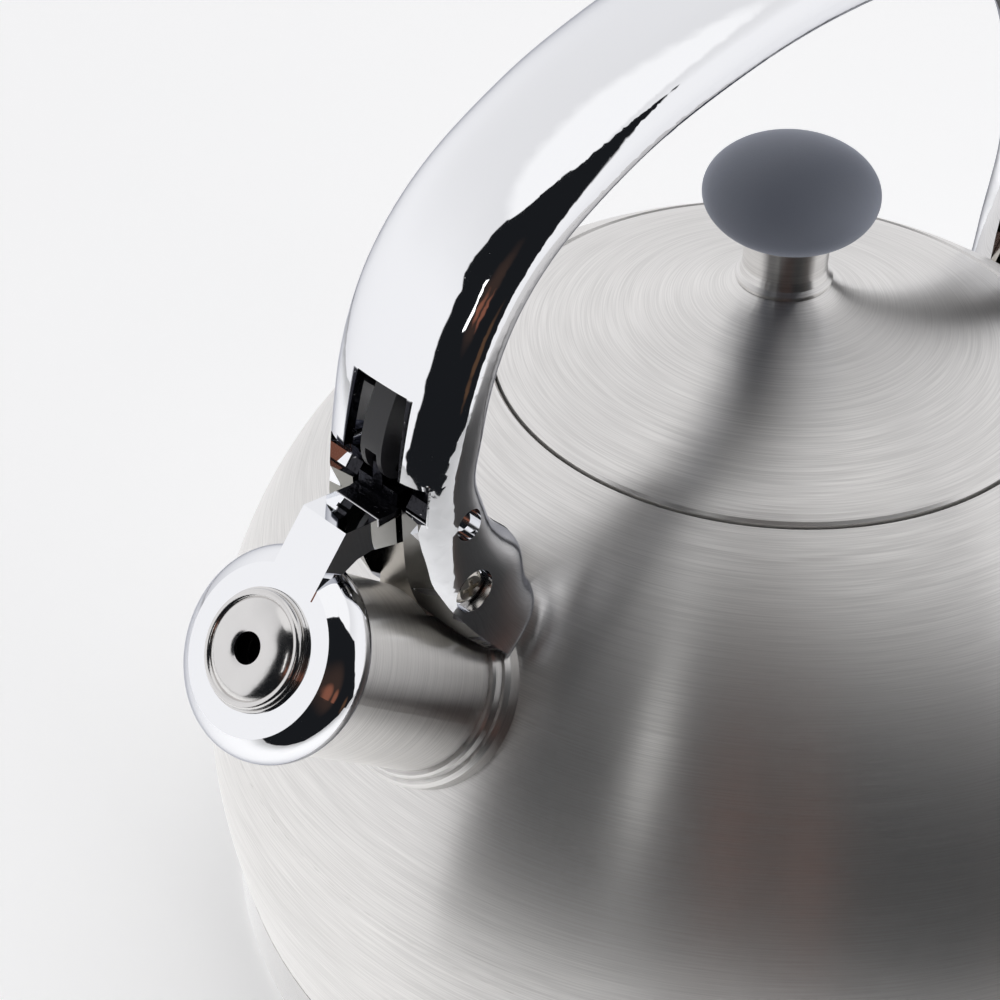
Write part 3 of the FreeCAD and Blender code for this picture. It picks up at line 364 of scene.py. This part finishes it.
def studio_world():
    """White tent with a dark opening on the side that the picture is taken from."""
    world = bpy.data.worlds.new("studio")
    bpy.context.scene.world = world
    world.use_nodes = True
    s = Shader(world.node_tree)
    direction = s.add("ShaderNodeTexCoord").outputs["Generated"]
    x, y, z = s.split(direction)
    azimuth = s.math("MULTIPLY", s.math("ARCTAN2", x, s.math("MULTIPLY", y, -1.0)), 180 / math.pi)
    elevation = s.math("MULTIPLY", s.math("ARCSINE", z), 180 / math.pi)

    def cap(az, el, inner, outer):
        """1 inside the inner angle round a direction, easing to 0 at the outer, in degrees."""
        a, e = math.radians(az), math.radians(el)
        axis = (math.sin(a) * math.cos(e), -math.cos(a) * math.cos(e), math.sin(e))
        node = s.add("ShaderNodeVectorMath", operation="DOT_PRODUCT")
        s.put(node.inputs[0], direction)
        node.inputs[1].default_value = axis
        return s.smooth(node.outputs["Value"], math.cos(math.radians(outer)),
                        math.cos(math.radians(inner)))

    def edge(points):
        """Azimuth of an edge of the opening against elevation, as a curve through the points."""
        node = s.add("ShaderNodeFloatCurve")
        s.put(node.inputs["Value"], s.math("ADD", s.math("DIVIDE", elevation, 180.0), 0.5))
        curve = node.mapping.curves[0]
        places = [((el + 90) / 180, (az + 180) / 360) for el, az in points]
        while len(curve.points) < len(places):
            curve.points.new(0.5, 0.5)
        for point, place in zip(curve.points, sorted(places)):
            point.location = place
            point.handle_type = "VECTOR"
        node.mapping.update()
        return s.math("SUBTRACT", s.math("MULTIPLY", node.outputs[0], 360.0), 180.0)

    past_left = s.smooth(s.math("SUBTRACT", azimuth, edge(OPENING_LEFT)), -LEFT_EASE, LEFT_EASE)
    before_right = s.smooth(s.math("SUBTRACT", azimuth, edge(OPENING_RIGHT)),
                            -RIGHT_EASE, RIGHT_EASE, 1.0, 0.0)
    opening = s.math("MULTIPLY", past_left, before_right)
    room = colour(*ROOM_DARK)
    for az, el, inner, outer, tint in ROOM_SPOTS:
        room = s.mix(cap(az, el, inner, outer), room, colour(*tint))
    crown = s.smooth(elevation, *TENT_CROWN_RISE)
    fade = s.smooth(elevation, *TENT_SIDE_RISE, *TENT_SIDE_LEVEL)
    side = s.combine(fade, fade, s.math("MULTIPLY", fade, TENT_SIDE_BLUE))
    tent = s.mix(crown, side, colour(*TENT_CROWN))
    background = s.add("ShaderNodeBackground")
    s.put(background.inputs["Color"], s.mix(opening, tent, room))
    background.inputs["Strength"].default_value = 1.0
    output = s.add("ShaderNodeOutputWorld")
    s.tree.links.new(background.outputs[0], output.inputs["Surface"])


def stage_mesh(name, vertices, faces, made, **visible):
    """A piece of the studio, with the kinds of ray that see it or don't."""
    mesh = bpy.data.meshes.new(name)
    mesh.from_pydata(vertices, [], faces)
    mesh.materials.append(made)
    made_object = bpy.data.objects.new(name, mesh)
    bpy.context.scene.collection.objects.link(made_object)
    for ray, shown in visible.items():
        setattr(made_object, "visible_" + ray, shown)


TABLE_CENTRE = (-0.12, -0.12)
TABLE_RADIUS = 0.36
TABLE_BRIGHT_RADIUS = 0.22              # the table starts to dim towards its edge from here
TABLE_GLOW = 0.30
TABLE_EDGE_LEVEL = 0.5                  # brightness left at the edge of the mirrored table
STUDIO_RADIUS = 14.0
FLOOR_LEVEL, TABLE_LEVEL = -0.0002, -0.0004


def pale_floor(name, edge_level=1.0):
    """White table top, dimmer towards its edge where edge_level is below 1."""
    made, s, surface = material(name)
    coords = s.add("ShaderNodeTexCoord").outputs["Object"]
    cloud = s.noise(coords, 3.0, 3.0, 0.5)
    x, y, _ = s.split(coords)
    across = s.math("SUBTRACT", x, TABLE_CENTRE[0])
    along = s.math("SUBTRACT", y, TABLE_CENTRE[1])
    squares = s.math("ADD", s.math("MULTIPLY", across, across), s.math("MULTIPLY", along, along))
    reach = s.math("SQRT", squares)
    level = s.smooth(reach, TABLE_BRIGHT_RADIUS, TABLE_RADIUS, 1.0, edge_level)
    grey = s.combine(level, level, level)
    tone = s.mix(cloud, colour(0.90, 0.90, 0.90), colour(0.93, 0.93, 0.93))
    dimmed = s.add("ShaderNodeVectorMath", operation="MULTIPLY")
    s.put(dimmed.inputs[0], tone)
    s.put(dimmed.inputs[1], grey)
    s.put(surface.inputs["Base Color"], dimmed.outputs[0])
    surface.inputs["Roughness"].default_value = 0.7
    surface.inputs["Emission Color"].default_value = colour(1, 1, 1)
    s.put(surface.inputs["Emission Strength"], s.math("MULTIPLY", level, TABLE_GLOW))
    return made


def disc(radius, z, centre=(0, 0), count=96):
    """Points and the one face of a flat disc."""
    ring = [(centre[0] + radius * math.cos(2 * math.pi * i / count),
             centre[1] + radius * math.sin(2 * math.pi * i / count), z) for i in range(count)]
    return ring, [tuple(range(count))]


DOME_TOP = 0.999                        # the top ring stops just short of the pole
DOME_SINK = 0.001                       # the dome starts this far below the table


def dome(radius, rows=16, count=48):
    """Points and faces of a half ball round the studio, seen behind the floor's far edge."""
    points, faces = [], []
    for row in range(rows + 1):
        rise = math.pi / 2 * row / rows * DOME_TOP
        for i in range(count):
            turn = 2 * math.pi * i / count
            points.append((radius * math.cos(rise) * math.cos(turn),
                           radius * math.cos(rise) * math.sin(turn),
                           radius * math.sin(rise) - DOME_SINK))
    for row in range(rows):
        for i in range(count):
            a, b = row * count + i, row * count + (i + 1) % count
            faces.append((a, b, b + count, a + count))
    faces.append(tuple(range(rows * count, (rows + 1) * count)))
    return points, faces


def glow(name, strength):
    """A material that only gives off white light."""
    made = bpy.data.materials.new(name)
    made.use_nodes = True
    s = Shader(made.node_tree)
    emission = s.add("ShaderNodeEmission")
    emission.inputs["Color"].default_value = colour(1, 1, 1)
    emission.inputs["Strength"].default_value = strength
    output = s.add("ShaderNodeOutputMaterial")
    s.tree.links.new(emission.outputs[0], output.inputs["Surface"])
    return made


BACKDROP_STRENGTH = 0.92

studio_world()
stage_mesh("floor", *disc(STUDIO_RADIUS, FLOOR_LEVEL), pale_floor("pale_floor"), glossy=False)
# What the metal mirrors of the table: the floor itself is left out of mirror images.
stage_mesh("table_reflection", *disc(TABLE_RADIUS, TABLE_LEVEL, TABLE_CENTRE),
           pale_floor("table_reflection", TABLE_EDGE_LEVEL), camera=False, diffuse=False,
           shadow=False)
stage_mesh("backdrop", *dome(STUDIO_RADIUS), glow("backdrop", BACKDROP_STRENGTH), glossy=False,
           diffuse=False, shadow=False, transmission=False)


# --- camera ---------------------------------------------------------------------

CAMERA_PLACE = (0.24049, -0.30814, 0.3915)
CAMERA_RIGHT = (0.6934, 0.7204, 0.0134)
CAMERA_UP = (-0.4487, 0.4172, 0.7903)
CAMERA_BACK = (0.5638, -0.5540, 0.6126)
CAMERA_LENS, CAMERA_SENSOR = 89.96, 36.0        # in millimetres


def place_camera():
    """Camera above the kettle and to the +X side of its spout, 0.55 m from the base's centre."""
    data = bpy.data.cameras.new("camera")
    data.sensor_width = CAMERA_SENSOR
    data.lens = CAMERA_LENS
    data.clip_start, data.clip_end = 0.01, 100.0
    camera = bpy.data.objects.new("camera", data)
    bpy.context.scene.collection.objects.link(camera)
    axes = (Vector(CAMERA_RIGHT), Vector(CAMERA_UP), Vector(CAMERA_BACK))
    turn = Matrix(axes).transposed().to_4x4()
    camera.matrix_world = Matrix.Translation(CAMERA_PLACE) @ turn
    bpy.context.scene.camera = camera


# Cards of light, as place, (width, height) and strength. The lamp gives the metal its bright
# strips, and the fill lights the grey and black parts from the +X side.
LAMP_PLACE, LAMP_SIZE, LAMP_STRENGTH = (0.182, -0.528, 0.446), (0.05, 0.20), 1.8
FILL_PLACE, FILL_SIZE, FILL_STRENGTH = (0.60, -0.05, 0.35), (0.40, 0.40), 2.2
CARD_AIM = (0.0, -0.04, 0.10)


def card(name, centre, size, strength, **visible):
    """An upright card of light that faces the kettle and that the camera never sees."""
    width, height = size
    normal = (Vector(CARD_AIM) - Vector(centre)).normalized()
    side = normal.cross(Vector((0, 0, 1))).normalized() * width / 2
    rise = side.cross(normal).normalized() * height / 2
    corners = [Vector(centre) + a * side + b * rise
               for a, b in ((-1, -1), (1, -1), (1, 1), (-1, 1))]
    stage_mesh(name, [tuple(corner) for corner in corners], [(0, 1, 2, 3)], glow(name, strength),
               camera=False, shadow=False, transmission=False, **visible)


card("lamp_card", LAMP_PLACE, LAMP_SIZE, LAMP_STRENGTH, diffuse=False)
card("fill_card", FILL_PLACE, FILL_SIZE, FILL_STRENGTH, glossy=False)
place_camera()
bpy.context.scene.view_settings.view_transform = "Standard"
